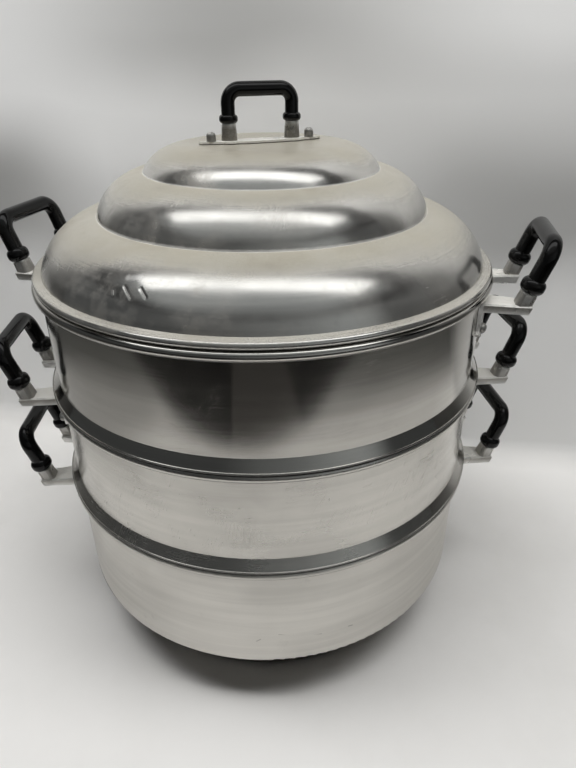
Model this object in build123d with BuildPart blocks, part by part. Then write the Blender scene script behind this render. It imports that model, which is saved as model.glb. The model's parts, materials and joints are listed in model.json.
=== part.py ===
# Steamer pot: a base pot, two steaming tiers stacked on it, and a stepped dome lid.
# Millimetres, +Z up, origin on the stacking axis at the base pot's underside. The front is towards -Y.
# Each vessel has a pair of side handles: a cast bracket riveted to the wall and a moulded grip
# screwed to the bracket's two posts. The lid has a smaller handle of the same kind on its flat top.
from build123d import *
import math
import os

os.makedirs("parts", exist_ok=True)

# Vessels: a wall stands on the base pot's shoulder or a tier's skirt and ends in a rim
wall_radius = 195.4
wall_sheet = 1.5
base_height = 112.0
tier_pitch = 96.2
base_corner = 3.5

# Well: the base pot's narrower lower part, below its shoulder
well_depth = 55.0
well_inset = 30.0
well_corner = 20.0
well_bend = 4.0

# Rolled rim at the top of each vessel
rim_overhang = 6.1
rim_height = 7.6
rim_round = 1.2

# Skirt and plug at the foot of each tier
skirt_flare = 6.6
skirt_height = 11.0
skirt_bead = 2.4
plug_depth = 14.0
plug_corner = 5.0

# Steam holes in a tier's floor
steam_hole_radius = 4.0
steam_hole_rings = 6
steam_holes_per_ring = 6

# Clearances
seat_clearance = 0.3
plug_clearance = 1.0
joint_clearance = 0.1
curved_clearance = 0.2
shank_clearance = 0.2
overrun = 2.0

# Lid: a flat top and three bulges that step down to a flange with a rolled edge and a locating lip
dome_height = 98.6
lid_sheet = 1.2
lid_edge_inset = 1.7
lid_edge_height = 6.0
flange_rise = 7.2
lip_depth = 6.0
lip_clearance = 1.2
bulge_foot_radius_share = 0.9826
lower_crease_radius_share = 0.7242
upper_crease_radius_share = 0.5118
top_radius_share = 0.3275
lower_crease_height_share = 0.4736
upper_crease_height_share = 0.8002
bulge_foot_lean_angle = 14.0
bulge_head_slope_angle = 4.0
bulge_pull_share = 0.36
top_bulge_foot_lean_angle = 27.6
top_bulge_head_slope_angle = 0.0

# Side handles
leg_spacing = 78.6
arm_drop = 18.1
arm_reach = 26.9
arm_thickness = 7.2
arm_root_width = 26.0
arm_end_width = 17.0
arm_edge_round = 1.2
post_width = 16.0
post_depth = 13.0
post_top_width = 13.6
post_round_share = 0.3
handle_lean_angle = 18.5
collar_start = 13.6
grip_height = 53.2
grip_radius = 7.0
grip_bend = 12.7
collar_radius = 9.9
collar_height = 12.0
collar_round_share = 0.42
foot_thickness = 3.0
foot_margin = 9.0
foot_band = 15.0
foot_lobe = 8.0
foot_round = 2.5
base_right_angle = 2.7
base_left_angle = 181.2
lower_right_angle = 2.0
lower_left_angle = 182.5
upper_right_angle = -13.6
upper_left_angle = 164.5

# Rivets and screws of the side handles
rivet_drop = 18.2
rivet_spacing = 88.0
rivet_radius = 2.5
rivet_head_radius = 4.2
rivet_head_height = 3.8
rivet_dome_share = 0.75
rivet_back_radius = 4.5
rivet_back_height = 1.2
screw_radius = 2.0
screw_head_radius = 3.7
screw_head_height = 2.6
screw_round = 0.8
screw_engagement = 20.0

# Lid handle
lid_handle_angle = 17.0
lid_leg_spacing = 54.4
lid_plate_length = 105.6
lid_plate_width = 19.0
lid_plate_thickness = 2.2
lid_post_foot_radius = 6.6
lid_post_radius = 5.8
lid_post_boss_radius = 8.6
lid_collar_start = 15.6
lid_grip_height = 40.3
lid_grip_radius = 5.6
lid_grip_bend = 10.0
lid_collar_radius = 7.6
lid_collar_height = 6.4
lid_rivet_spacing = 85.0
lid_rivet_radius = 2.2
lid_rivet_head_radius = 3.9
lid_rivet_head_height = 7.2
lid_rivet_dome_share = 0.45
lid_rivet_back_radius = 4.0
lid_rivet_back_height = 1.2
lid_screw_radius = 1.8
lid_screw_head_radius = 3.4
lid_screw_head_height = 2.2
lid_screw_engagement = 14.0

# Places worked out from the sizes above
inner_radius = wall_radius - wall_sheet
rim_radius = wall_radius + rim_overhang
skirt_radius = wall_radius + skirt_flare
plug_radius = inner_radius - plug_clearance
well_radius = wall_radius - well_inset
base_rim = well_depth + base_height
lower_rim = base_rim + tier_pitch
upper_rim = lower_rim + tier_pitch
lid_top = upper_rim + dome_height
post_top = collar_start - joint_clearance
leg_offset = leg_spacing / 2
rivet_offset = rivet_spacing / 2
lid_leg_offset = lid_leg_spacing / 2
rivet_angle = math.degrees(math.asin(rivet_offset / wall_radius))
lean = math.radians(handle_lean_angle)
base_handle_angles = (base_right_angle, base_left_angle)
lower_handle_angles = (lower_right_angle, lower_left_angle)
upper_handle_angles = (upper_right_angle, upper_left_angle)


def save(builder, name):
    """Label a finished piece and write its STEP file."""
    builder.part.label = name
    export_step(builder.part, f"parts/{name}.step")


def rolled_rim(rim_top):
    """Draw a vessel's rim from the wall's outer face over to its inner face."""
    turn = rim_height / 2
    Line((wall_radius, rim_top - rim_height), (rim_radius - turn, rim_top - rim_height))
    CenterArc((rim_radius - turn, rim_top - turn), turn, -90, 180)
    Line((rim_radius - turn, rim_top), (inner_radius + rim_round, rim_top))
    CenterArc((inner_radius + rim_round, rim_top - rim_round), rim_round, 90, 90)


def radial_plane(angle, height):
    """Plane through the stacking axis whose normal points outwards at an angle."""
    turn = math.radians(angle)
    return Plane(
        origin=(0, 0, height),
        x_dir=(-math.sin(turn), math.cos(turn), 0),
        z_dir=(math.cos(turn), math.sin(turn), 0),
    )


def rivet_angles(handle_angles):
    """Angles of the four rivets that hold a vessel's pair of handles."""
    return [handle_angle + side * rivet_angle for handle_angle in handle_angles for side in (-1, 1)]


def drill_rivet_holes(rim_top, handle_angles):
    """Drill the rivet holes through a vessel's wall."""
    for angle in rivet_angles(handle_angles):
        with BuildSketch(radial_plane(angle, rim_top - arm_drop - rivet_drop)) as rivet_hole:
            Circle(rivet_radius + shank_clearance)
        extrude(rivet_hole.sketch, amount=rim_radius + overrun, mode=Mode.SUBTRACT)


def tier_outline(rim_top):
    """Draw half the section of a tier: plug, skirt, wall and rim."""
    seat = rim_top - tier_pitch + seat_clearance
    floor_under = seat - plug_depth
    skirt_top = seat + skirt_height
    bead = skirt_bead / 2
    fold = skirt_radius - bead - wall_sheet
    plug_inside = plug_radius - wall_sheet
    Line((0, floor_under), (plug_radius - plug_corner, floor_under))
    CenterArc((plug_radius - plug_corner, floor_under + plug_corner), plug_corner, -90, 90)
    Polyline((plug_radius, floor_under + plug_corner), (plug_radius, seat), (skirt_radius - bead, seat))
    CenterArc((skirt_radius - bead, seat + bead), bead, -90, 180)
    Polyline(
        (skirt_radius - bead, seat + skirt_bead),
        (wall_radius, skirt_top),
        (wall_radius, rim_top - rim_height),
    )
    rolled_rim(rim_top)
    Polyline(
        (inner_radius, rim_top - rim_round),
        (inner_radius, skirt_top),
        (fold, seat + wall_sheet),
        (plug_inside, seat + wall_sheet),
        (plug_inside, floor_under + plug_corner),
    )
    CenterArc(
        (plug_radius - plug_corner, floor_under + plug_corner), plug_corner - wall_sheet, 0, -90
    )
    Polyline(
        (plug_radius - plug_corner, floor_under + wall_sheet),
        (0, floor_under + wall_sheet),
        (0, floor_under),
    )


def drill_steam_holes(rim_top):
    """Drill the centre hole and the rings of steam holes through a tier's floor."""
    floor_under = rim_top - tier_pitch + seat_clearance - plug_depth
    ring_step = (plug_radius - plug_corner) / (steam_hole_rings + 1 / 2)
    with BuildSketch(Plane.XY.offset(floor_under - overrun)) as steam_holes:
        Circle(steam_hole_radius)
        for ring in range(1, steam_hole_rings + 1):
            with PolarLocations(ring * ring_step, ring * steam_holes_per_ring):
                Circle(steam_hole_radius)
    extrude(steam_holes.sketch, amount=wall_sheet + 2 * overrun, mode=Mode.SUBTRACT)


def leg_plane(loop, offset, along):
    """Plane across a handle's leg: offset across the loop, and a distance along the leg."""
    return Plane(origin=loop.from_local_coords((offset, along, 0)), x_dir=loop.x_dir, z_dir=loop.y_dir)


def collar_shape(radius, height):
    """A round-edged collar that stands on its plane."""
    with BuildPart() as shape:
        Cylinder(radius, height, align=(Align.CENTER, Align.CENTER, Align.MIN))
        fillet(shape.edges().filter_by(GeomType.CIRCLE), radius=height * collar_round_share)
    return shape.part


def grip_shape(loop, offset, start, top, bend, tube, collar, collar_rise, bore, bore_depth):
    """A moulded grip: a bent bar with a collar and a blind screw bore at the foot of each leg."""
    collar_part = collar_shape(collar, collar_rise)
    leg_start = start + collar_rise / 2
    with BuildPart() as shape:
        with BuildLine(loop) as path:
            FilletPolyline(
                (-offset, leg_start), (-offset, top), (offset, top), (offset, leg_start), radius=bend
            )
        with BuildSketch(leg_plane(loop, -offset, leg_start)):
            Circle(tube)
        sweep(path=path.line)
        for leg in (-offset, offset):
            foot = leg_plane(loop, leg, start)
            with Locations(foot.location):
                add(collar_part)
            with BuildSketch(foot):
                Circle(bore)
            extrude(amount=bore_depth, mode=Mode.SUBTRACT)
    return shape.part


def rivet_shape(shank, back_face, head_face, back_radius, back_height, head_radius, head_height, dome):
    """A rivet on Z: a flat back below one face, a shank, and a domed head above the other face."""
    with BuildPart() as shape:
        with BuildSketch(Plane.XY.offset(back_face - back_height)):
            Circle(back_radius)
        extrude(amount=back_height)
        with BuildSketch(Plane.XY.offset(back_face)):
            Circle(shank)
        extrude(amount=head_face - back_face)
        with BuildSketch(Plane.XY.offset(head_face)):
            Circle(head_radius)
        extrude(amount=head_height)
        fillet(shape.edges().group_by(Axis.Z)[-1], radius=dome)
    return shape.part


def screw_shape(shank, bearing, head_radius, head_height, tip):
    """A screw on Z: a round-edged head below its bearing face and a shank up to its tip."""
    with BuildPart() as shape:
        with BuildSketch(Plane.XY.offset(bearing - head_height)):
            Circle(head_radius)
        extrude(amount=head_height)
        fillet(shape.edges().group_by(Axis.Z)[0], radius=screw_round)
        with BuildSketch(Plane.XY.offset(bearing)):
            Circle(shank)
        extrude(amount=tip - bearing)
    return shape.part


# Base pot: drawn from one sheet, its wall stepping in over a shoulder to a well with a flat floor
with BuildPart() as base_pot:
    shoulder_edge = wall_radius - base_corner
    well_floor_edge = well_radius - well_corner
    with BuildSketch(Plane.XZ):
        with BuildLine():
            Line((0, 0), (well_floor_edge, 0))
            CenterArc((well_floor_edge, well_corner), well_corner, -90, 90)
            Line((well_radius, well_corner), (well_radius, well_depth - well_bend))
            CenterArc((well_radius + well_bend, well_depth - well_bend), well_bend, 180, -90)
            Line((well_radius + well_bend, well_depth), (shoulder_edge, well_depth))
            CenterArc((shoulder_edge, well_depth + base_corner), base_corner, -90, 90)
            Line((wall_radius, well_depth + base_corner), (wall_radius, base_rim - rim_height))
            rolled_rim(base_rim)
            Line((inner_radius, base_rim - rim_round), (inner_radius, well_depth + base_corner))
            CenterArc((shoulder_edge, well_depth + base_corner), base_corner - wall_sheet, 0, -90)
            Line((shoulder_edge, well_depth + wall_sheet), (well_radius + well_bend, well_depth + wall_sheet))
            CenterArc((well_radius + well_bend, well_depth - well_bend), well_bend + wall_sheet, 90, 90)
            Line((well_radius - wall_sheet, well_depth - well_bend), (well_radius - wall_sheet, well_corner))
            CenterArc((well_floor_edge, well_corner), well_corner - wall_sheet, 0, -90)
            Polyline((well_floor_edge, wall_sheet), (0, wall_sheet), (0, 0))
        make_face()
    revolve(axis=Axis.Z)
    drill_rivet_holes(base_rim, base_handle_angles)
save(base_pot, "base_pot")

# Lower tier: its skirt rests on the base pot's rim, its plug and floor hang inside the base pot
with BuildPart() as lower_tier:
    with BuildSketch(Plane.XZ):
        with BuildLine():
            tier_outline(lower_rim)
        make_face()
    revolve(axis=Axis.Z)
    drill_steam_holes(lower_rim)
    drill_rivet_holes(lower_rim, lower_handle_angles)
save(lower_tier, "lower_tier")

# Upper tier: the same drawing as the lower one, with its handles turned
with BuildPart() as upper_tier:
    with BuildSketch(Plane.XZ):
        with BuildLine():
            tier_outline(upper_rim)
        make_face()
    revolve(axis=Axis.Z)
    drill_steam_holes(upper_rim)
    drill_rivet_holes(upper_rim, upper_handle_angles)
save(upper_tier, "upper_tier")

# Lid: corners of the dome's outer face, from the flange inwards and up
lid_seat = upper_rim + seat_clearance
lid_edge_radius = rim_radius - lid_edge_inset
lid_edge_turn = lid_edge_height / 2
lip_radius = inner_radius - lip_clearance
dome_corners = [
    (wall_radius * bulge_foot_radius_share, upper_rim + flange_rise),
    (wall_radius * lower_crease_radius_share, upper_rim + dome_height * lower_crease_height_share),
    (wall_radius * upper_crease_radius_share, upper_rim + dome_height * upper_crease_height_share),
    (wall_radius * top_radius_share, lid_top),
]
inside_corners = [(x - lid_sheet, z - lid_sheet) for x, z in dome_corners]
bulge_leans = [bulge_foot_lean_angle, bulge_foot_lean_angle, top_bulge_foot_lean_angle]
bulge_slopes = [bulge_head_slope_angle, bulge_head_slope_angle, top_bulge_head_slope_angle]


def bulge(foot, head, foot_lean, head_slope):
    """Draw one bulge: it rises steeply from its foot and ends nearly level at its head."""
    pull = bulge_pull_share * math.dist(foot, head)
    rise = math.radians(foot_lean)
    fall = math.radians(head_slope)
    Bezier(
        foot,
        (foot[0] - pull * math.sin(rise), foot[1] + pull * math.cos(rise)),
        (head[0] + pull * math.cos(fall), head[1] - pull * math.sin(fall)),
        head,
    )


with BuildPart() as lid:
    with BuildSketch(Plane.XZ):
        with BuildLine():
            Line((0, lid_top), dome_corners[-1])
            for foot, head, foot_lean, head_slope in zip(
                dome_corners, dome_corners[1:], bulge_leans, bulge_slopes
            ):
                bulge(foot, head, foot_lean, head_slope)
            Line(dome_corners[0], (lid_edge_radius - lid_edge_turn, lid_seat + lid_edge_height))
            CenterArc((lid_edge_radius - lid_edge_turn, lid_seat + lid_edge_turn), lid_edge_turn, -90, 180)
            Polyline(
                (lid_edge_radius - lid_edge_turn, lid_seat),
                (lip_radius, lid_seat),
                (lip_radius, upper_rim - lip_depth),
                (lip_radius - lid_sheet, upper_rim - lip_depth),
                (lip_radius - lid_sheet, lid_seat + lid_sheet),
                inside_corners[0],
            )
            for foot, head, foot_lean, head_slope in zip(
                inside_corners, inside_corners[1:], bulge_leans, bulge_slopes
            ):
                bulge(foot, head, foot_lean, head_slope)
            Polyline(inside_corners[-1], (0, lid_top - lid_sheet), (0, lid_top))
        make_face()
    revolve(axis=Axis.Z)
    with BuildSketch(Plane.XY.offset(lid_top - lid_sheet - overrun)):
        with Locations(Rot(0, 0, lid_handle_angle)):
            with Locations((-lid_leg_offset, 0), (lid_leg_offset, 0)):
                Circle(lid_screw_radius + shank_clearance)
            with Locations((-lid_rivet_spacing / 2, 0), (lid_rivet_spacing / 2, 0)):
                Circle(lid_rivet_radius + shank_clearance)
    extrude(amount=lid_sheet + 2 * overrun, mode=Mode.SUBTRACT)
save(lid, "lid")

# Side handle frame: X points out from the wall, Y along it, and Z is 0 at the arms' middle height
foot_radius = wall_radius + curved_clearance
post_root = wall_radius + arm_reach
arm_half = arm_thickness / 2
loop_plane = Plane(
    origin=(post_root, 0, 0), x_dir=(0, 1, 0), z_dir=(math.cos(lean), 0, -math.sin(lean))
)

# Two arms that stand out from the wall, each with a post that leans outwards
with BuildPart() as arms:
    arm_end = post_root + post_depth
    for side in (-1, 1):
        outer_edge = side * (leg_offset + arm_end_width / 2)
        inner_end = side * (leg_offset - arm_end_width / 2)
        inner_root = outer_edge - side * arm_root_width
        with BuildSketch(Plane.XY.offset(-arm_half)):
            with BuildLine():
                Polyline(
                    (wall_radius * math.cos(math.radians(rivet_angle)) - overrun, outer_edge),
                    (arm_end, outer_edge),
                    (arm_end, inner_end),
                    (wall_radius * math.cos(math.radians(rivet_angle)) - overrun, inner_root),
                    close=True,
                )
            make_face()
        extrude(amount=arm_thickness)
    split(bisect_by=loop_plane.offset(post_depth / 2), keep=Keep.BOTTOM)
    chamfer(arms.edges().group_by(Axis.Z)[-1], length=arm_edge_round)
    for side in (-1, 1):
        with BuildSketch(leg_plane(loop_plane, side * leg_offset, 0)):
            RectangleRounded(post_width, post_depth, post_depth * post_round_share)
        with BuildSketch(leg_plane(loop_plane, side * leg_offset, post_top)):
            RectangleRounded(post_top_width, post_depth, post_depth * post_round_share)
        loft()
        with BuildSketch(leg_plane(loop_plane, side * leg_offset, 0)):
            RectangleRounded(post_width, post_depth, post_depth * post_round_share)
        extrude(amount=-arm_thickness)
    split(bisect_by=Plane.XY.offset(-arm_half), keep=Keep.TOP)

# Bracket: a curved foot on the wall with a lobe for each rivet, and the two arms
with BuildPart() as bracket:
    foot_top = arm_half + foot_round
    with BuildSketch(Plane.YZ.offset(inner_radius * math.cos(math.radians(rivet_angle)) - post_depth)):
        with Locations((0, foot_top - foot_band / 2)):
            Rectangle(rivet_spacing + 2 * foot_margin, foot_band)
        with Locations((-rivet_offset, -rivet_drop), (rivet_offset, -rivet_drop)):
            Circle(foot_lobe)
        with Locations((-rivet_offset, -rivet_drop / 2), (rivet_offset, -rivet_drop / 2)):
            Rectangle(2 * foot_lobe, rivet_drop)
    extrude(amount=post_root)
    with BuildSketch(Plane.XY.offset(-rivet_drop - foot_lobe - overrun)):
        Circle(foot_radius + foot_thickness)
        Circle(foot_radius, mode=Mode.SUBTRACT)
    extrude(amount=rivet_drop + foot_lobe + foot_top + 2 * overrun, mode=Mode.INTERSECT)
    add(arms.part)
    with BuildSketch(Plane.XY.offset(-arm_thickness)):
        Circle(foot_radius)
    extrude(amount=2 * arm_thickness, mode=Mode.SUBTRACT)
    for side in (-1, 1):
        with BuildSketch(radial_plane(side * rivet_angle, -rivet_drop)):
            Circle(rivet_radius + shank_clearance)
        extrude(amount=post_root, mode=Mode.SUBTRACT)
        with BuildSketch(leg_plane(loop_plane, side * leg_offset, 0)):
            Circle(screw_radius + shank_clearance)
        extrude(amount=post_top + overrun, mode=Mode.SUBTRACT)
        with BuildSketch(leg_plane(loop_plane, side * leg_offset, 0)):
            Circle(screw_head_radius + shank_clearance)
        extrude(amount=-arm_thickness, mode=Mode.SUBTRACT)

# Side grip, rivet and screw: a rivet's Z is 0 at the wall's inner face, a screw's in the middle of the arm
grip = grip_shape(
    loop_plane,
    leg_offset,
    collar_start,
    grip_height,
    grip_bend,
    grip_radius,
    collar_radius,
    collar_height,
    screw_radius + shank_clearance,
    screw_engagement + joint_clearance,
)
rivet = rivet_shape(
    rivet_radius,
    -curved_clearance,
    wall_sheet + foot_thickness + 2 * curved_clearance,
    rivet_back_radius,
    rivet_back_height,
    rivet_head_radius,
    rivet_head_height,
    rivet_head_height * rivet_dome_share,
)
screw = screw_shape(
    screw_radius, -joint_clearance, screw_head_radius, screw_head_height, collar_start + screw_engagement
)

# The three pairs of side handles
screw_places = [leg_plane(loop_plane, leg, 0).location for leg in (-leg_offset, leg_offset)]
handle_sets = [
    ("base", base_rim, base_handle_angles),
    ("lower_tier", lower_rim, lower_handle_angles),
    ("upper_tier", upper_rim, upper_handle_angles),
]
for vessel_name, rim_top, handle_angles in handle_sets:
    arm_level = rim_top - arm_drop
    for side_name, handle_angle in zip(("right", "left"), handle_angles):
        place = Location((0, 0, arm_level), (0, 0, handle_angle))
        with BuildPart() as placed_bracket:
            with Locations(place):
                add(bracket.part)
        save(placed_bracket, f"{vessel_name}_bracket_{side_name}")
        with BuildPart() as placed_grip:
            with Locations(place):
                add(grip)
        save(placed_grip, f"{vessel_name}_grip_{side_name}")
    with BuildPart() as rivets:
        for angle in rivet_angles(handle_angles):
            with Locations(radial_plane(angle, arm_level - rivet_drop).offset(inner_radius).location):
                add(rivet)
    save(rivets, f"{vessel_name}_rivets")
    with BuildPart() as screws:
        for handle_angle in handle_angles:
            with Locations(Location((0, 0, arm_level), (0, 0, handle_angle))):
                with Locations(*screw_places):
                    add(screw)
    save(screws, f"{vessel_name}_screws")

# Lid handle frame: X along the plate, Z is 0 at the lid's top
lid_place = Location((0, 0, lid_top), (0, 0, lid_handle_angle))
plate_top = joint_clearance + lid_plate_thickness

with BuildPart() as lid_bracket_shape:
    with BuildSketch(Plane.XY.offset(joint_clearance)):
        with BuildLine():
            plate_tip = lid_plate_length / 2
            plate_half = lid_plate_width / 2
            ThreePointArc((-plate_tip, 0), (0, plate_half), (plate_tip, 0))
            ThreePointArc((plate_tip, 0), (0, -plate_half), (-plate_tip, 0))
        make_face()
        with Locations((-lid_leg_offset, 0), (lid_leg_offset, 0)):
            Circle(lid_post_boss_radius)
    extrude(amount=lid_plate_thickness)
    post_rise = lid_collar_start - joint_clearance - plate_top
    with Locations((-lid_leg_offset, 0, plate_top), (lid_leg_offset, 0, plate_top)):
        Cone(lid_post_foot_radius, lid_post_radius, post_rise, align=(Align.CENTER, Align.CENTER, Align.MIN))
    with BuildSketch(Plane.XY):
        with Locations((-lid_leg_offset, 0), (lid_leg_offset, 0)):
            Circle(lid_screw_radius + shank_clearance)
    extrude(amount=lid_collar_start + overrun, mode=Mode.SUBTRACT)
    with BuildSketch(Plane.XY):
        with Locations((-lid_rivet_spacing / 2, 0), (lid_rivet_spacing / 2, 0)):
            Circle(lid_rivet_radius + shank_clearance)
    extrude(amount=plate_top + overrun, mode=Mode.SUBTRACT)

with BuildPart() as lid_bracket:
    with Locations(lid_place):
        add(lid_bracket_shape.part)
save(lid_bracket, "lid_bracket")

lid_grip_body = grip_shape(
    Plane.XZ,
    lid_leg_offset,
    lid_collar_start,
    lid_grip_height,
    lid_grip_bend,
    lid_grip_radius,
    lid_collar_radius,
    lid_collar_height,
    lid_screw_radius + shank_clearance,
    lid_screw_engagement + joint_clearance,
)
lid_rivet = rivet_shape(
    lid_rivet_radius,
    -lid_sheet - joint_clearance,
    plate_top + joint_clearance,
    lid_rivet_back_radius,
    lid_rivet_back_height,
    lid_rivet_head_radius,
    lid_rivet_head_height,
    lid_rivet_head_height * lid_rivet_dome_share,
)
lid_screw = screw_shape(
    lid_screw_radius,
    -lid_sheet - joint_clearance,
    lid_screw_head_radius,
    lid_screw_head_height,
    lid_collar_start + lid_screw_engagement,
)

with BuildPart() as lid_grip:
    with Locations(lid_place):
        add(lid_grip_body)
save(lid_grip, "lid_grip")

with BuildPart() as lid_rivets:
    with Locations(lid_place):
        with Locations((-lid_rivet_spacing / 2, 0, 0), (lid_rivet_spacing / 2, 0, 0)):
            add(lid_rivet)
save(lid_rivets, "lid_rivets")

with BuildPart() as lid_screws:
    with Locations(lid_place):
        with Locations((-lid_leg_offset, 0, 0), (lid_leg_offset, 0, 0)):
            add(lid_screw)
save(lid_screws, "lid_screws")
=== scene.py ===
"""Looks of the steamer pot: its aluminium, castings and black grips, on a pale table under soft light."""

import json
import math
from functools import reduce
from types import SimpleNamespace

import bpy
from mathutils import Matrix, Vector


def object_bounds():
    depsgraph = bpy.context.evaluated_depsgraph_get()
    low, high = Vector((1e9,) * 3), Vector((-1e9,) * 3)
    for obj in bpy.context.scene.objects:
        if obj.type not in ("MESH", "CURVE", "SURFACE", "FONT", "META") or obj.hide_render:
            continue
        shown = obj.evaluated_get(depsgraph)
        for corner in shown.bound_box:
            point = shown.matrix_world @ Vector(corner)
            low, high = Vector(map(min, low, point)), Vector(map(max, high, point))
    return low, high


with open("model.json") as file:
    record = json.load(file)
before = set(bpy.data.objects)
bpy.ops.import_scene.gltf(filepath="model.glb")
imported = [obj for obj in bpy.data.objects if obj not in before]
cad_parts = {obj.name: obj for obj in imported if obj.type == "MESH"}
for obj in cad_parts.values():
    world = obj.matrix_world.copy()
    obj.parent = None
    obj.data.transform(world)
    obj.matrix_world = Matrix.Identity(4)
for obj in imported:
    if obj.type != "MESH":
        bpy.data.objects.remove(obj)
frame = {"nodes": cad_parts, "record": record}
cad_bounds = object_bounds()
nodes = frame["nodes"]


def height_of(name, pick):
    """The height of a node's lowest point, where pick is min, or of its highest, where pick is max."""
    return pick(corner[2] for corner in nodes[name].bound_box)


# Levels and radii of the stack, in metres
floor_level = cad_bounds[0][2]
well_depth = 0.055
shoulder = floor_level + well_depth
wall_radius = 0.1954
lid_edge_radius = 0.188
crease_radii = (0.1415, 0.1000)
lid_plate_thickness = 0.0021
lid_plate_top = height_of("lid_bracket", min) + lid_plate_thickness
rim_levels = [height_of(vessel, max) for vessel in ("base_pot", "lower_tier", "upper_tier")]

# Camera: solved from the rims' ellipses in the photograph
eye = Vector((0.0, -0.5373, shoulder + 0.4696))
yaw, pitch, roll = 0.0384, 0.5080, -0.0088
focal_share = 598.77 / 768
sensor_height = 36

# Room: the table, its backdrop and the lights stand turned a little against the pot
room_turn = math.radians(-11)
room = Matrix.Rotation(room_turn, 3, "Z")
table_front, table_half = -0.589, 2.4
backdrop_foot, backdrop_bend, backdrop_top, bend_steps = 0.232, 0.03, 1.2, 12
ceiling_level, ceiling_half, ceiling_front, ceiling_back = 1.695, 3, -3, 2.4
wall_reach, wall_foot, wall_span, wall_steps = 2.5, 0.2, math.radians(135), 36
strip_place, strip_size = (0.0, -0.21, 1.655), (2.2, 0.48)
strip_radiance, strip_glow_radiance = 1.75, 8.3


def rgb(red, green, blue):
    return (red, green, blue, 1.0)


def shaded(colour, share):
    return tuple(share * c for c in colour[:3]) + (1.0,)


sheet_tint = rgb(0.68, 0.66, 0.62)
lid_tint = rgb(0.66, 0.65, 0.625)
pale_dust, brown_dust = rgb(0.345, 0.32, 0.25), rgb(0.23, 0.20, 0.145)
brown_mottle = rgb(0.27, 0.24, 0.185)
seam_shade_tint = rgb(0.03, 0.028, 0.025)
underside_shade_tints = rgb(0.035, 0.03, 0.026), rgb(0.09, 0.08, 0.07)
cast_tints = rgb(0.74, 0.725, 0.69), rgb(0.46, 0.44, 0.40)
cast_pits, cast_side_shade, cast_post = rgb(0.16, 0.145, 0.125), rgb(0.22, 0.205, 0.18), rgb(0.20, 0.185, 0.155)
cast_worn, cast_lit_tint, cast_foot_shadow = rgb(0.86, 0.86, 0.84), rgb(0.78, 0.765, 0.71), rgb(0.10, 0.09, 0.075)
grip_tints = rgb(0.003, 0.003, 0.003), rgb(0.008, 0.0075, 0.007)
table_tints = rgb(0.81, 0.80, 0.78), rgb(0.73, 0.72, 0.695)
backdrop_tints = rgb(0.82, 0.82, 0.81), rgb(0.44, 0.44, 0.43)
unlit_paper, lit_paper = rgb(0.10, 0.10, 0.095), rgb(1, 1, 0.99)
painted_glint_tint, crease_highlight_tint = rgb(0.62, 0.62, 0.60), rgb(0.80, 0.79, 0.76)
rivet_tint, screw_tint = rgb(0.56, 0.55, 0.52), rgb(0.52, 0.52, 0.53)
floor_tint, runner_tint = rgb(0.02, 0.019, 0.018), rgb(0.085, 0.08, 0.075)
glow_tint, dim_air = rgb(0.95, 1.0, 1.01), rgb(0.050, 0.049, 0.047)

# Painted shade in the seams: the heights where it starts and is full, from the rim's top and from the skirt's
# foot, and how far beyond the wall
over_rim = (-0.0016, -0.0009)
under_rim_upper, under_rim_lower = (-0.0046, -0.0062), (-0.0084, -0.0080)
round_foot = (0.0022, 0.0014)
beyond_wall = (0.0006, 0.0026)


def on_wall(angle, height):
    """A point on the vessels' outer wall, at an angle round the axis and a height above the shoulder."""
    turn = math.radians(angle)
    return (wall_radius * math.cos(turn), wall_radius * math.sin(turn), shoulder + height)


# Marks seen in the photograph, each a start, an end and a half-width: three knocks in the lid, the rubs above
# them and at the lid's right, the hatched rub on the lower tier, and ticks on the base
knocks = [
    ((-0.1017, -0.1518, shoulder + 0.3301), (-0.1015, -0.1538, shoulder + 0.3280), 0.0024),
    ((-0.0935, -0.1535, shoulder + 0.3334), (-0.0888, -0.1616, shoulder + 0.3279), 0.0022),
    ((-0.0818, -0.1595, shoulder + 0.3339), (-0.0781, -0.1654, shoulder + 0.3298), 0.0022),
]
# Painted glints: thin bright strokes along the knocks
painted_knock_glints = [(start, end, 0.25 * width) for start, end, width in knocks]
left_rub = ((-0.0911, -0.1491, shoulder + 0.3380), (-0.0824, -0.1526, shoulder + 0.3390), 0.004)
right_rub = ((0.1055, -0.1584, shoulder + 0.3169), (0.1070, -0.1574, shoulder + 0.3171), 0.003)
lower_tier_rub = (on_wall(-105, 0.176), on_wall(-96, 0.150), 0.024)
base_ticks = [
    (on_wall(-94.6, 0.0270), on_wall(-93.6, 0.0295), 0.0009),
    (on_wall(-70.6, 0.0285), on_wall(-69.6, 0.0280), 0.0012),
    (on_wall(-89.0, 0.0350), on_wall(-78.0, 0.0285), 0.0007),
]


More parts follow.
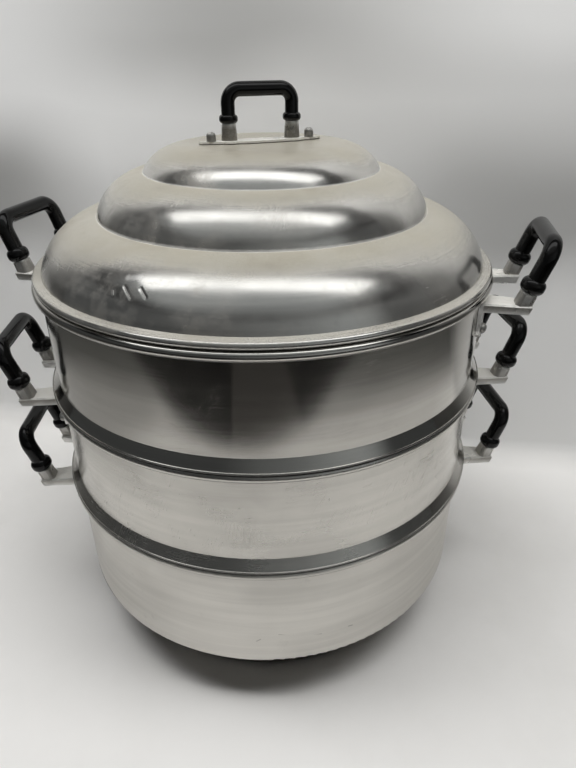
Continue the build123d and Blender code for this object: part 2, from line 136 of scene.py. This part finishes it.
class Shader:
    """A material's node tree, with short ways to add and join its nodes."""

    def __init__(self, name):
        self.material = bpy.data.materials.new(name)
        self.material.use_nodes = True
        self.tree = self.material.node_tree
        self.tree.nodes.clear()
        self.out = self.add("ShaderNodeOutputMaterial")

    def add(self, kind, sockets=None, **settings):
        node = self.tree.nodes.new(kind)
        for key, value in settings.items():
            setattr(node, key, value)
        for key, value in (sockets or {}).items():
            self.put(node.inputs[key], value)
        return node

    def put(self, socket, value):
        if isinstance(value, bpy.types.NodeSocket):
            self.tree.links.new(value, socket)
        elif isinstance(value, bpy.types.Node):
            self.tree.links.new(value.outputs[0], socket)
        else:
            socket.default_value = value

    def surface(self, shader):
        self.put(self.out.inputs["Surface"], shader)

    def math(self, operation, a, b=0.0, clamp=False):
        return self.add("ShaderNodeMath", {0: a, 1: b}, operation=operation, use_clamp=clamp).outputs[0]

    def plus(self, *values, clamp=False):
        return reduce(lambda a, b: self.math("ADD", a, b, clamp), values)

    def minus(self, a, b, clamp=False):
        return self.math("SUBTRACT", a, b, clamp)

    def times(self, *values, clamp=False):
        return reduce(lambda a, b: self.math("MULTIPLY", a, b, clamp), values)

    def highest(self, *values):
        return reduce(lambda a, b: self.math("MAXIMUM", a, b), values)

    def vector(self, x, y, z):
        return self.add("ShaderNodeCombineXYZ", {0: x, 1: y, 2: z}).outputs[0]

    def parts(self, vector):
        return tuple(self.add("ShaderNodeSeparateXYZ", {0: vector}).outputs)

    def vector_math(self, operation, a, b=None, scale=None):
        sockets = {0: a}
        if b is not None:
            sockets[1] = b
        if scale is not None:
            sockets["Scale"] = scale
        node = self.add("ShaderNodeVectorMath", sockets, operation=operation)
        return node.outputs["Value" if operation in ("DOT_PRODUCT", "DISTANCE") else "Vector"]

    def ramp(self, value, low, high, to_low=0.0, to_high=1.0):
        """A smooth step from to_low, where the value is at low or beyond, to to_high at high or beyond."""
        return self.add(
            "ShaderNodeMapRange",
            {"Value": value, "From Min": low, "From Max": high, "To Min": to_low, "To Max": to_high},
            interpolation_type="SMOOTHSTEP",
        ).outputs[0]

    def noise(self, vector, scale, detail, rough):
        return self.add(
            "ShaderNodeTexNoise", {"Vector": vector, "Scale": scale, "Detail": detail, "Roughness": rough}
        ).outputs[0]

    def mix(self, share, a, b):
        return self.add("ShaderNodeMix", {0: share, 6: a, 7: b}, data_type="RGBA").outputs[2]

    def bump(self, height, distance, strength=1.0, below=None):
        sockets = {"Height": height, "Distance": distance, "Strength": strength}
        if below is not None:
            sockets["Normal"] = below
        return self.add("ShaderNodeBump", sockets).outputs[0]

    def place(self):
        """Object coordinates, the direction from the axis, radius, level, normal, and how far it faces up."""
        coordinates = self.add("ShaderNodeTexCoord")
        point, normal = coordinates.outputs["Object"], coordinates.outputs["Normal"]
        x, y, level = self.parts(point)
        radius = self.math("SQRT", self.plus(self.times(x, x), self.times(y, y)))
        around = (self.math("DIVIDE", x, radius), self.math("DIVIDE", y, radius))
        return SimpleNamespace(
            point=point,
            around=around,
            radius=radius,
            level=level,
            normal=normal,
            facing_up=self.parts(normal)[2],
        )

    def outside(self, at):
        """1 where the surface faces outwards or down, away from the vessel's hollow."""
        outwards = self.vector_math("DOT_PRODUCT", at.normal, self.vector(*at.around, -1.0))
        return self.ramp(outwards, -0.1, 0.1)

    def rings(self, at, turns, fineness):
        """Noise drawn out into rings round the axis, as a spinning tool leaves it."""
        x, y = (self.times(part, turns) for part in at.around)
        along = self.minus(at.level, at.radius)
        return self.noise(self.vector(x, y, self.times(along, fineness)), 1.0, 2.0, 0.6)

    def stroke(self, point, start, end, width):
        """1 along a short straight mark from start to end, fading to 0 at its edges."""
        span = Vector(end) - Vector(start)
        out = self.vector_math("SUBTRACT", point, start)
        run = self.vector_math("DOT_PRODUCT", out, tuple(span))
        share = self.times(run, 1 / span.length_squared, clamp=True)
        nearest = self.vector_math("SCALE", tuple(span), scale=share)
        return self.ramp(self.vector_math("DISTANCE", out, nearest), width, 0.0)

    def strokes(self, point, marks):
        """The strongest of several strokes."""
        return self.highest(*(self.stroke(point, *mark) for mark in marks))

    def scratches(self, point, scale, turn, width, seed, low=0.54, high=0.66):
        """Sparse thin straight lines: a stretched noise cut to a narrow band, kept in patches."""
        offset = (seed, seed * 0.7, seed * 1.3)
        placing = {"Vector": point, "Location": offset, "Rotation": turn}
        moved = self.add("ShaderNodeMapping", placing).outputs[0]
        stretch = (scale * 0.03, scale * 0.03, scale)
        squeezed = self.add("ShaderNodeMapping", {"Vector": moved, "Scale": stretch}).outputs[0]
        from_middle = self.math("ABSOLUTE", self.minus(self.noise(squeezed, 1.0, 1.0, 0.5), 0.5))
        patches = self.ramp(self.noise(moved, 28.0, 2.0, 0.5), low, high)
        return self.times(self.ramp(from_middle, width, 0.0), patches)

    def principled(self, **sockets):
        node = self.add("ShaderNodeBsdfPrincipled")
        for key, value in sockets.items():
            self.put(node.inputs[key.replace("_", " ").title().replace("Ior", "IOR")], value)
        self.surface(node)
        return node


def fine_scratches(s, at, rubbed_and_lit):
    """Lines in two directions, the level ones only on steep faces, and a cross-hatch in rubbed places."""
    level_lines = s.scratches(at.point, 900.0, (0.0, 0.15, 0.3), 0.02, 1.7)
    steep_lines = s.scratches(at.point, 700.0, (0.3, 1.2, 0.9), 0.016, 5.3)
    lines = s.plus(s.times(level_lines, s.ramp(at.facing_up, 0.6, 0.2)), steep_lines, clamp=True)
    if rubbed_and_lit:
        hatch = s.plus(
            s.scratches(at.point, 1500.0, (0.0, 1.45, 0.0), 0.10, 8.1, 0.3, 0.45),
            s.scratches(at.point, 1300.0, (0.0, 0.05, 0.0), 0.10, 3.7, 0.3, 0.45),
            clamp=True,
        )
        lines = s.highest(lines, s.times(hatch, 0.4, s.strokes(at.point, rubbed_and_lit)))
    return lines


def dust_cover(s, at, streaky, dust, film):
    """Grainy dust where the sheet faces up, over a streaky dull film. It reaches lower down at the sides than
    at the front, and is thinner beyond the lid's edge."""
    steepest = s.ramp(at.around[1], -0.88, -0.50, 0.78, 0.50)
    beyond_edge = s.ramp(at.radius, lid_edge_radius - 0.002, lid_edge_radius + 0.002, dust, 0.55 * dust)
    cloudy = s.ramp(s.noise(at.point, 22.0, 4.0, 0.6), 0.25, 0.7, 0.7, 1.0)
    speck = s.minus(s.noise(at.point, 2600.0, 1.0, 0.5), 0.5)
    dusty = s.times(s.ramp(at.facing_up, steepest, 0.99), beyond_edge, cloudy)
    dusty = s.times(dusty, s.plus(1.0, s.times(speck, 3.0)), clamp=True)
    return s.plus(dusty, s.times(s.ramp(streaky, 0.5, 1.0, 0.5, 1.6), film), clamp=True)


def seam_shade_shares(s, at, rim_top, cover, foot):
    """Where painted shade darkens the outer seams: over the rim's top, under the rim, and round the skirt's
    foot.
    """

    def from_level(level, start, full):
        return s.ramp(at.level, level + start, level + full)

    shares = []
    if rim_top is not None:
        shares.append(s.times(from_level(rim_top, *over_rim), cover))
        under_rim = s.times(from_level(rim_top, *under_rim_upper), from_level(rim_top, *under_rim_lower))
        shares.append(s.times(under_rim, 0.7))
    if foot is not None:
        shares.append(s.times(from_level(foot, *round_foot), 0.9))
    outside_wall = s.ramp(at.radius, *(wall_radius + reach for reach in beyond_wall))
    return [s.times(share, outside_wall) for share in shares]


def aluminium(
    name, tint, rough, blotch, grain, scuff, film=0.0, mottle=0.0, dust=0.3, shade_top=None,
    rim_top=None, cover=0.9, foot=None, dents=(), bright=(), dark=(), rubbed_and_lit=(), creases=(),
):
    """Spun sheet: fine rings round the axis, cloudy dulling, scratches, own marks, brown mottling and dust,
    with painted glints along the knocks and painted highlight lines at the creases.
    Below the given shade height its outside is painted dark: painted shade under the pot's overhang, reaching
    a little higher at the left. rim_top and foot are the heights of the rim's top and of the skirt's foot,
    where painted shade darkens the seams, over the rim by the share cover."""
    s = Shader(name)
    at = s.place()
    rings = s.rings(at, 2.0, 900.0)
    broad_rings = s.rings(at, 1.2, 120.0)
    cloud = s.noise(at.point, 9.0, 4.0, 0.6)
    spots = s.noise(at.point, 60.0, 5.0, 0.65)
    lines = fine_scratches(s, at, rubbed_and_lit)
    dusty = dust_cover(s, at, s.plus(cloud, s.times(broad_rings, 0.5)), dust, film)

    roughness = s.plus(rough, s.times(s.ramp(cloud, 0.35, 0.75), blotch))
    roughness = s.plus(roughness, s.times(s.minus(rings, 0.5), grain), s.times(dusty, 0.22))
    roughness = s.plus(roughness, s.times(lines, scuff), clamp=True)
    metallic = s.minus(1.0, s.times(dusty, 0.75))
    brown = s.ramp(s.noise(at.point, 11.0, 5.0, 0.7), 0.48, 0.72, 0.0, 0.6)
    colour = s.mix(s.ramp(broad_rings, 0.3, 0.7), shaded(tint, 0.90), tint)
    colour = s.mix(s.ramp(spots, 0.62, 0.8, 0.0, 0.5), colour, shaded(tint, 0.72))
    colour = s.mix(s.times(lines, scuff), colour, shaded(tint, 1.25))
    colour = s.mix(s.times(dusty, 0.9), colour, s.mix(brown, pale_dust, brown_dust))
    if mottle:
        leftwards = s.ramp(at.around[0], 0.3, -0.5, 0.35, 1.0)
        patches = s.times(s.ramp(s.noise(at.point, 24.0, 6.0, 0.7), 0.47, 0.66), mottle, leftwards)
        colour = s.mix(patches, colour, brown_mottle)
        roughness = s.plus(roughness, s.times(patches, 0.12))
        metallic = s.minus(metallic, s.times(patches, 0.6), clamp=True)
    if dark:
        colour = s.mix(s.times(s.strokes(at.point, dark), 0.55), colour, shaded(tint, 0.25))
    # Painted highlights: paler, less metallic strokes along the knocks, and the same over the rub above them
    if bright:
        painted_glint = s.times(s.strokes(at.point, bright), s.ramp(spots, 0.35, 0.5, 0.35, 1.0))
        colour = s.mix(s.times(painted_glint, 0.35), colour, painted_glint_tint)
        metallic = s.minus(metallic, s.times(painted_glint, 0.5), clamp=True)
    # Painted highlight lines along the lid's creases
    for crease in creases:
        crease_highlight = s.ramp(s.math("ABSOLUTE", s.minus(at.radius, crease)), 0.0007, 0.0002)
        crease_highlight = s.times(crease_highlight, s.ramp(cloud, 0.3, 0.65, 0.15, 0.7))
        colour = s.mix(crease_highlight, colour, crease_highlight_tint)
        metallic = s.minus(metallic, s.times(crease_highlight, 0.8), clamp=True)
    # Painted shade in the seams: under each skirt's bead, over the rim beneath it and round the skirt's foot
    for darkening in seam_shade_shares(s, at, rim_top, cover, foot):
        colour = s.mix(darkening, colour, seam_shade_tint)
        roughness = s.plus(roughness, s.times(darkening, 0.3))
        metallic = s.times(metallic, s.minus(1.0, darkening))
    # Painted shade below the shoulder, where the pot's underside sits in shadow, reaching a little higher at
    # the left
    if shade_top is not None:
        below = s.plus(at.level, s.times(cloud, 0.004))
        below = s.minus(below, s.ramp(at.around[0], -0.5, -0.9, 0.0, 0.007))
        shaded_below = s.times(s.ramp(below, shade_top + 0.002, shade_top - 0.002), s.outside(at))
        colour = s.mix(shaded_below, colour, s.mix(cloud, *underside_shade_tints))
        roughness = s.plus(roughness, s.times(shaded_below, 0.3))

    normal = s.bump(s.noise(at.point, 14.0, 1.0, 0.4), 0.0006)
    if dents:
        normal = s.bump(s.strokes(at.point, dents), -0.0002, 1.0, below=normal)
    tooling = s.plus(s.times(rings, 0.02), s.times(lines, -0.10 * scuff))
    s.principled(
        base_color=colour,
        metallic=metallic,
        roughness=roughness,
        anisotropic=0.75,
        anisotropic_rotation=0.25,
        tangent=s.add("ShaderNodeTangent", direction_type="RADIAL", axis="Z").outputs[0],
        normal=s.bump(tooling, 0.0004, 0.6, below=normal),
    )
    return s.material


def cast_aluminium(name):
    """Tumbled casting: fine pits, soft lumps, stains, painted shade on the sides, paler and duller upper
    faces painted as lit, and bright worn edges. The lid's plate has a pale band of painted light along its
    front side over a painted shadow at its foot, and posts above it darker in patches."""
    s = Shader(name)
    at = s.place()
    lumps = s.noise(at.point, 130.0, 4.0, 0.6)
    pits = s.noise(at.point, 900.0, 3.0, 0.65)
    stain = s.noise(at.point, 35.0, 3.0, 0.6)
    worn = s.ramp(s.add("ShaderNodeNewGeometry").outputs["Pointiness"], 0.5, 0.6)
    # Painted shade: faces that turn away from up are darker, blotched by the stains
    shaded_sides = s.ramp(s.plus(at.facing_up, s.times(stain, 0.5)), 0.9, 0.4)
    above_plate = s.minus(at.level, lid_plate_top)
    post = s.times(s.ramp(above_plate, 0.0003, 0.0008), s.ramp(pits, 0.4, 0.6, 0.5, 0.8))
    # On the lid's plate: painted light along its front side, and a painted shadow at its lowest edge
    rubbed_and_lit = s.times(s.ramp(above_plate, -0.0017, -0.0012), s.ramp(above_plate, 0.0008, 0.0003))
    foot = s.times(s.ramp(above_plate, -0.0012, -0.0017), s.ramp(above_plate, -0.012, -0.006))
    # Painted light: upper faces and the plate's lit band are paler and less metallic
    lit_faces = s.highest(rubbed_and_lit, s.times(s.ramp(at.facing_up, 0.6, 0.95), 0.75))

    colour = s.mix(s.ramp(stain, 0.4, 0.75), *cast_tints)
    colour = s.mix(s.times(s.ramp(pits, 0.55, 0.75), 0.6), colour, cast_pits)
    colour = s.mix(s.times(shaded_sides, 0.65), colour, cast_side_shade)
    colour = s.mix(post, colour, cast_post)
    colour = s.mix(s.times(worn, 0.8), colour, cast_worn)
    colour = s.mix(lit_faces, colour, cast_lit_tint)
    colour = s.mix(foot, colour, cast_foot_shadow)
    roughness = s.ramp(stain, 0.3, 0.7, 0.26, 0.42)
    metallic = s.times(s.ramp(stain, 0.3, 0.7, 0.82, 0.62), s.minus(1.0, s.times(lit_faces, 0.8)))
    normal = s.bump(pits, 0.00035, 0.7, below=s.bump(lumps, 0.0022, 0.6))
    s.principled(base_color=colour, metallic=metallic, roughness=roughness, normal=normal)
    return s.material


def phenolic(name):
    """Glossy black moulding with a faint orange peel, fine hairlines and handled, duller patches."""
    s = Shader(name)
    point = s.place().point
    peel = s.noise(point, 420.0, 2.0, 0.5)
    handled = s.noise(point, 45.0, 4.0, 0.6)
    hairs = s.scratches(point, 1500.0, (0.4, 0.2, 0.1), 0.012, 2.9)
    s.principled(
        base_color=s.mix(s.ramp(handled, 0.4, 0.8), *grip_tints),
        roughness=s.plus(s.ramp(handled, 0.35, 0.75, 0.06, 0.20), s.times(hairs, 0.2)),
        specular_ior_level=0.25,
        normal=s.bump(peel, 0.00006, 0.5),
    )
    return s.material


def tumbled_metal(name, bright, rough):
    """Small fasteners: softly dented, with grime in the hollows and painted shade down the sides."""
    s = Shader(name)
    at = s.place()
    dents = s.noise(at.point, 420.0, 3.0, 0.6)
    darkening = s.noise(at.point, 180.0, 4.0, 0.6)
    colour = s.mix(s.ramp(darkening, 0.45, 0.8), bright, shaded(bright, 0.45))
    s.principled(
        # Painted shade: the sides darker than the tops
        base_color=s.mix(s.ramp(at.facing_up, 0.7, 0.1, 0.0, 0.6), colour, shaded(bright, 0.3)),
        metallic=0.8,
        roughness=s.ramp(darkening, 0.3, 0.7, rough, rough + 0.18),
        normal=s.bump(dents, 0.0004, 0.5),
    )
    return s.material


materials = {
    "base_pot": aluminium(
        "base_aluminium", sheet_tint, rough=0.30, blotch=0.14, grain=0.10, scuff=0.14,
        shade_top=shoulder, rim_top=rim_levels[0], dark=base_ticks,
    ),
    "lower_tier": aluminium(
        "lower_tier_aluminium", shaded(sheet_tint, 0.94), rough=0.20, blotch=0.12, grain=0.08, scuff=0.14,
        rim_top=rim_levels[1], foot=rim_levels[0], rubbed_and_lit=[lower_tier_rub],
    ),
    "upper_tier": aluminium(
        "upper_tier_aluminium", shaded(sheet_tint, 0.84), rough=0.11, blotch=0.05, grain=0.05, scuff=0.10,
        rim_top=rim_levels[2], cover=0.0, foot=rim_levels[1],
    ),
    "lid": aluminium(
        "lid_aluminium", lid_tint, rough=0.13, blotch=0.10, grain=0.08, scuff=0.06,
        film=0.12, mottle=0.32, dust=0.95,
        dents=knocks, bright=painted_knock_glints + [left_rub], rubbed_and_lit=[left_rub, right_rub], creases=crease_radii,
    ),
    "cast_bracket": cast_aluminium("cast_aluminium"),
    "grip": phenolic("black_phenolic"),
    "rivet": tumbled_metal("rivet_aluminium", rivet_tint, 0.28),
    "screw": tumbled_metal("screw_steel", screw_tint, 0.32),
}
slot_of = {part["node"]: part["material_slot"] for part in frame["record"]["subparts"]}
for name, node in nodes.items():
    for slot in node.material_slots:
        slot.material = materials[slot_of[name]]


def stage_mesh(name, points, faces, material, smooth=False, seen=True):
    """A piece of the stage, drawn in the room's frame; where it isn't seen, it only shows in the metal."""
    mesh = bpy.data.meshes.new(name)
    mesh.from_pydata([room @ Vector((x, y, floor_level + z)) for x, y, z in points], [], faces)
    mesh.materials.append(material)
    for face in mesh.polygons:
        face.use_smooth = smooth
    thing = bpy.data.objects.new(name, mesh)
    thing.visible_camera = thing.visible_diffuse = thing.visible_shadow = seen
    bpy.context.scene.collection.objects.link(thing)


def strip_faces(count):
    """Faces that join neighbouring pairs of points into a strip, for so many pairs beyond the first."""
    return [(2 * i, 2 * i + 1, 2 * i + 3, 2 * i + 2) for i in range(count)]


def stage_paper(name):
    """Pale matt sheet: smudged on the table, unevenly shaded and lit where it stands up behind, and dark far
    off to the sides. A camera behind or below it sees through it."""
    s = Shader(name)
    point = s.add("ShaderNodeTexCoord").outputs["Object"]
    x, y, z = s.parts(point)
    flat = s.vector(x, y, 0.0)
    drift = s.times(s.minus(s.noise(point, 3.0, 2.0, 0.5), 0.5), 0.16)
    height = s.minus(s.minus(s.plus(z, drift), shoulder), s.ramp(x, -0.15, -0.40, 0.0, 0.035))

    # The table, with painted shade: darker away from the pot and at the left
    smudge = s.ramp(s.noise(point, 5.0, 6.0, 0.65), 0.42, 0.75, 0.0, 0.5)
    reach = s.vector_math("DISTANCE", flat, (0.0, 0.0, 0.0))
    far = s.highest(s.ramp(reach, 0.56, 0.84), s.ramp(reach, 0.40, 0.52, 0.0, 0.12))
    left = s.times(s.ramp(x, -0.40, -0.58), 0.6)
    table = s.mix(s.highest(far, left), s.mix(smudge, *table_tints), unlit_paper)

    # The backdrop, with a band of shade that is darkest at the sides and a round one higher in the middle
    side = s.highest(s.ramp(x, -0.16, -0.36), s.ramp(x, 0.0, 0.34, 0.1, 0.88))
    band = s.times(s.ramp(height, 0.15, 0.25), s.ramp(height, 0.42, 0.29), side)
    from_middle = s.vector_math("DISTANCE", flat, (-0.02, 0.26, 0.0))
    middle = s.times(s.ramp(from_middle, 0.34, 0.0), 0.75, s.ramp(height, 0.38, 0.48))
    shade = s.highest(band, middle)
    away = s.ramp(s.math("ABSOLUTE", x), 0.46, 0.95, 0.0, 0.85)
    backdrop = s.mix(away, s.mix(shade, *backdrop_tints), unlit_paper)
    risen = s.ramp(z, floor_level + 0.004, floor_level + 0.03)

    # A weak glow evens the backdrop out, only for the camera and in the metal
    rays = s.add("ShaderNodeLightPath").outputs
    seen = s.highest(rays["Is Camera Ray"], rays["Is Glossy Ray"])
    left_side = s.times(s.ramp(x, 0.05, -0.25), s.ramp(height, 0.26, 0.36))
    lift = s.plus(s.times(s.highest(left_side, s.ramp(height, 0.42, 0.50)), 0.11), 0.03)
    lift = s.times(lift, s.minus(1.0, shade), s.minus(1.0, away), risen, seen)
    paper = s.principled(
        base_color=s.mix(risen, table, backdrop), roughness=0.75, specular_ior_level=0.2,
        emission_color=lit_paper, emission_strength=lift,
    )
    from_behind = s.times(s.add("ShaderNodeNewGeometry").outputs["Backfacing"], rays["Is Camera Ray"])
    see_through = s.add("ShaderNodeBsdfTransparent")
    s.surface(s.add("ShaderNodeMixShader", {0: from_behind, 1: paper, 2: see_through}))
    return s.material


def plain_matt(name, colour):
    s = Shader(name)
    s.principled(base_color=colour, roughness=0.9, specular_ior_level=0.0)
    return s.material


def floor_piece(name, left, right, near, far, level, colour):
    points = [(x, y, level) for y in (near, far) for x in (left, right)]
    stage_mesh(name, points, strip_faces(1), plain_matt(name, colour))


profile = [(table_front, 0.0), (backdrop_foot - backdrop_bend, 0.0)]
for step in range(1, bend_steps + 1):
    turn = math.pi / 2 * step / bend_steps
    profile.append((
        backdrop_foot - backdrop_bend * (1 - math.sin(turn)),
        backdrop_bend * (1 - math.cos(turn)),
    ))
profile.append((backdrop_foot, backdrop_top))
sheet_points = [(side * table_half, y, z) for y, z in profile for side in (-1, 1)]
paper = stage_paper("stage_paper")
stage_mesh("table_and_backdrop", sheet_points, strip_faces(len(profile) - 1), paper, smooth=True)

# The floor beyond the table's front edge, which shows in the metal
floor_piece("dark_floor", left=-4, right=4, near=-4, far=table_front, level=-0.32, colour=floor_tint)
floor_piece("floor_runner", left=-0.12, right=0.50, near=-4, far=table_front, level=-0.30, colour=runner_tint)


def room_place(s):
    """A card's x and y in the room's frame."""
    point = s.add("ShaderNodeTexCoord").outputs["Object"]
    turned = s.add("ShaderNodeMapping", {"Vector": point, "Rotation": (0, 0, -room_turn)}).outputs[0]
    return s.parts(turned)[:2]


def glow(s, strength):
    s.surface(s.add("ShaderNodeEmission", {"Color": glow_tint, "Strength": strength}))
    return s.material


def ceiling_glow(name):
    """Dim ceiling: lighter in front of the strip, fading forwards and sideways, and paler behind the pot."""
    s = Shader(name)
    x, y = room_place(s)
    side = s.ramp(s.math("ABSOLUTE", x), 1.9, 0.9)
    front = s.times(s.ramp(y, -2.4, -0.5), side, s.ramp(y, 0.0, -0.1))
    behind = s.times(s.ramp(y, 0.42, 0.72), s.ramp(y, 2.4, 1.6))
    return glow(s, s.plus(s.times(front, 0.38), s.times(behind, 0.60)))


def wall_glow(name):
    """The room's front wall by the turn from the front: dark on the left, lighter towards the front right,
    dark again to the right, and a little lighter behind."""
    s = Shader(name)
    x, y = room_place(s)
    turn = s.math("ARCTAN2", x, s.times(y, -1.0))
    middle = s.times(s.ramp(turn, -0.3, 0.3), s.ramp(turn, 1.26, 1.06), 0.10)
    right = s.times(s.ramp(turn, 0.2, 0.95), s.ramp(turn, 1.25, 0.95), 0.18)
    behind = s.times(s.ramp(turn, 1.7, 1.9), 0.08)
    return glow(s, s.plus(middle, right, behind, 0.06))


# The room, which only shows in the metal
ceiling_corners = [(side * ceiling_half, y) for y in (ceiling_front, ceiling_back) for side in (-1, 1)]
ceiling_points = [(x, y, ceiling_level) for x, y in ceiling_corners]
stage_mesh("ceiling", ceiling_points, strip_faces(1), ceiling_glow("ceiling_glow"), seen=False)
wall_points = []
for step in range(wall_steps + 1):
    turn = wall_span * (2 * step / wall_steps - 1)
    x, y = wall_reach * math.sin(turn), -wall_reach * math.cos(turn)
    wall_points += [(x, y, ceiling_level), (x, y, wall_foot)]
stage_mesh("front_wall", wall_points, strip_faces(wall_steps), wall_glow("wall_glow"), seen=False)


def area_light(name, radiance, glossy=True):
    """The overhead strip, as bright to look at as radiance."""
    data = bpy.data.lights.new(name, "AREA")
    data.shape = "RECTANGLE"
    data.size, data.size_y = strip_size
    data.energy = radiance * math.pi * data.size * data.size_y
    light = bpy.data.objects.new(name, data)
    place = room @ Vector(strip_place) + Vector((0, 0, floor_level))
    light.matrix_world = Matrix.Translation(place) @ room.to_4x4()
    light.visible_glossy = glossy
    light.visible_camera = False
    bpy.context.scene.collection.objects.link(light)


# One strip is what the metal mirrors; the stronger one at its place lights the rest
area_light("strip", strip_radiance)
area_light("strip_glow", strip_glow_radiance, glossy=False)

world = bpy.data.worlds.new("studio")
bpy.context.scene.world = world
world.use_nodes = True
world.node_tree.nodes["Background"].inputs["Color"].default_value = dim_air


def make_camera():
    forward = Vector((math.sin(yaw) * math.cos(pitch), math.cos(yaw) * math.cos(pitch), -math.sin(pitch)))
    level = Vector((math.cos(yaw), -math.sin(yaw), 0))
    up = level.cross(forward)
    right = math.cos(roll) * level + math.sin(roll) * up
    top = -math.sin(roll) * level + math.cos(roll) * up
    data = bpy.data.cameras.new("camera")
    data.sensor_fit = "VERTICAL"
    data.sensor_height = sensor_height
    data.lens = sensor_height * focal_share
    data.clip_start = 0.01
    camera = bpy.data.objects.new("camera", data)
    camera.matrix_world = Matrix.Translation(eye) @ Matrix((right, top, -forward)).transposed().to_4x4()
    bpy.context.scene.collection.objects.link(camera)
    bpy.context.scene.camera = camera


make_camera()
bpy.context.scene.view_settings.view_transform = "Standard"
